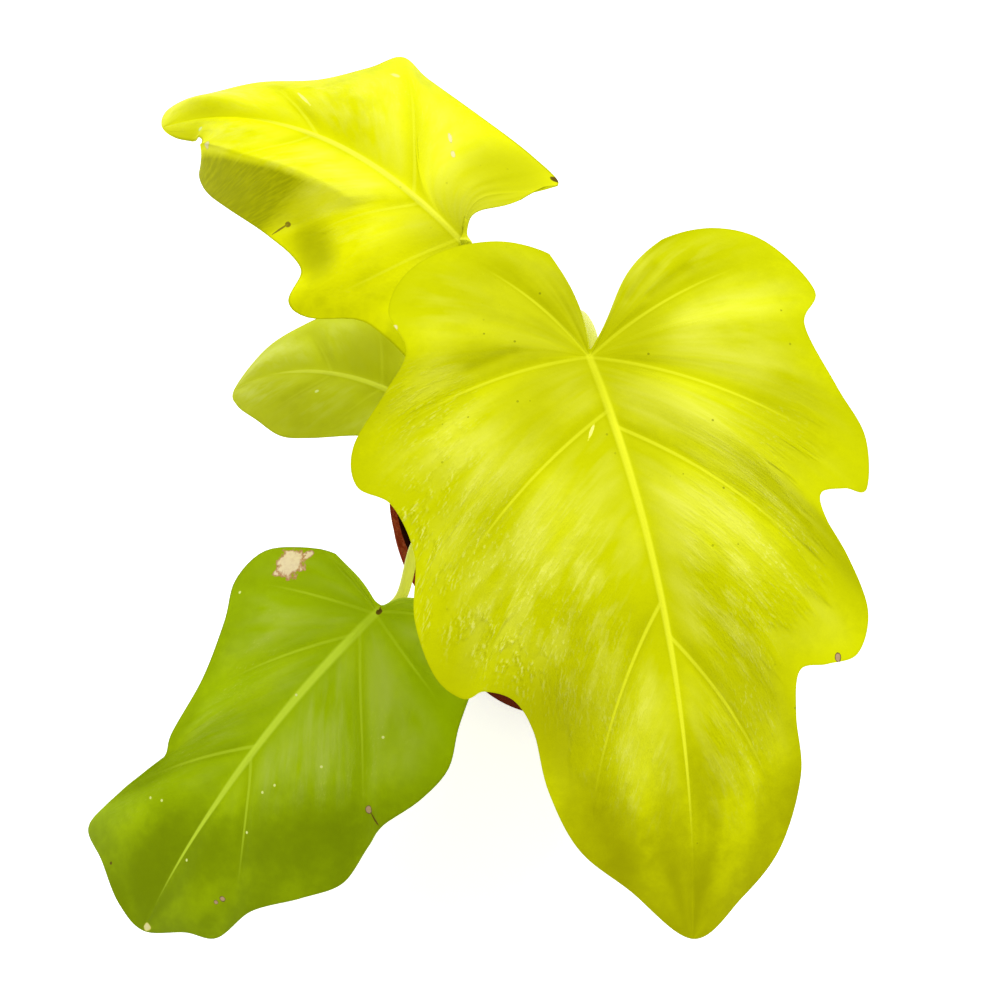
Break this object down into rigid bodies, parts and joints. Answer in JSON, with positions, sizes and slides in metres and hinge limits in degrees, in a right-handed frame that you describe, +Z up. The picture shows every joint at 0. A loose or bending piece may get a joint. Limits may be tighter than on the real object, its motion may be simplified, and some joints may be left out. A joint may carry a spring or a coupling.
{
  "type": "potted philodendron warscewiczii",
  "caption": "Young aroid house plant with broad waved heart-shaped leaves on arching stalks, rooted in soil in a round tapered nursery pot that stands on its flat base.",
  "frame": {"origin": "centre of the pot's underside", "axes": "+Z up along the pot's axis; the biggest leaf hangs out over the front, -Y, and the plant leans to -X"},
  "size_m": [0.2499, 0.2843, 0.2229],
  "materials": {
    "pot_plastic": "satin moulded terracotta-red plastic",
    "potting_soil": "moist dark crumbs of peat and bark",
    "stem_skin": "ringed olive bark, satin",
    "sheath_skin": "smooth pale sheath, satin",
    "stalk_skin": "smooth pale yellow-green stalk, satin",
    "lime_leaf": "smooth yellow-lime leaf with paler veins, soft gloss",
    "yellow_leaf": "smooth yellow leaf with paler veins, soft gloss",
    "olive_leaf": "dull olive leaf",
    "green_leaf": "smooth green leaf with paler veins and a dried patch, soft gloss"
  },
  "bodies": {
    "root": {"pot": "pot_plastic", "soil": "potting_soil", "stem": "stem_skin", "cataphyll": "sheath_skin", "petiole_front": "stalk_skin", "blade_front": "lime_leaf", "petiole_far": "stalk_skin", "blade_far": "yellow_leaf", "petiole_small": "stalk_skin", "blade_small": "olive_leaf", "petiole_low": "stalk_skin", "blade_low": "green_leaf"}
  },
  "joints": []
}
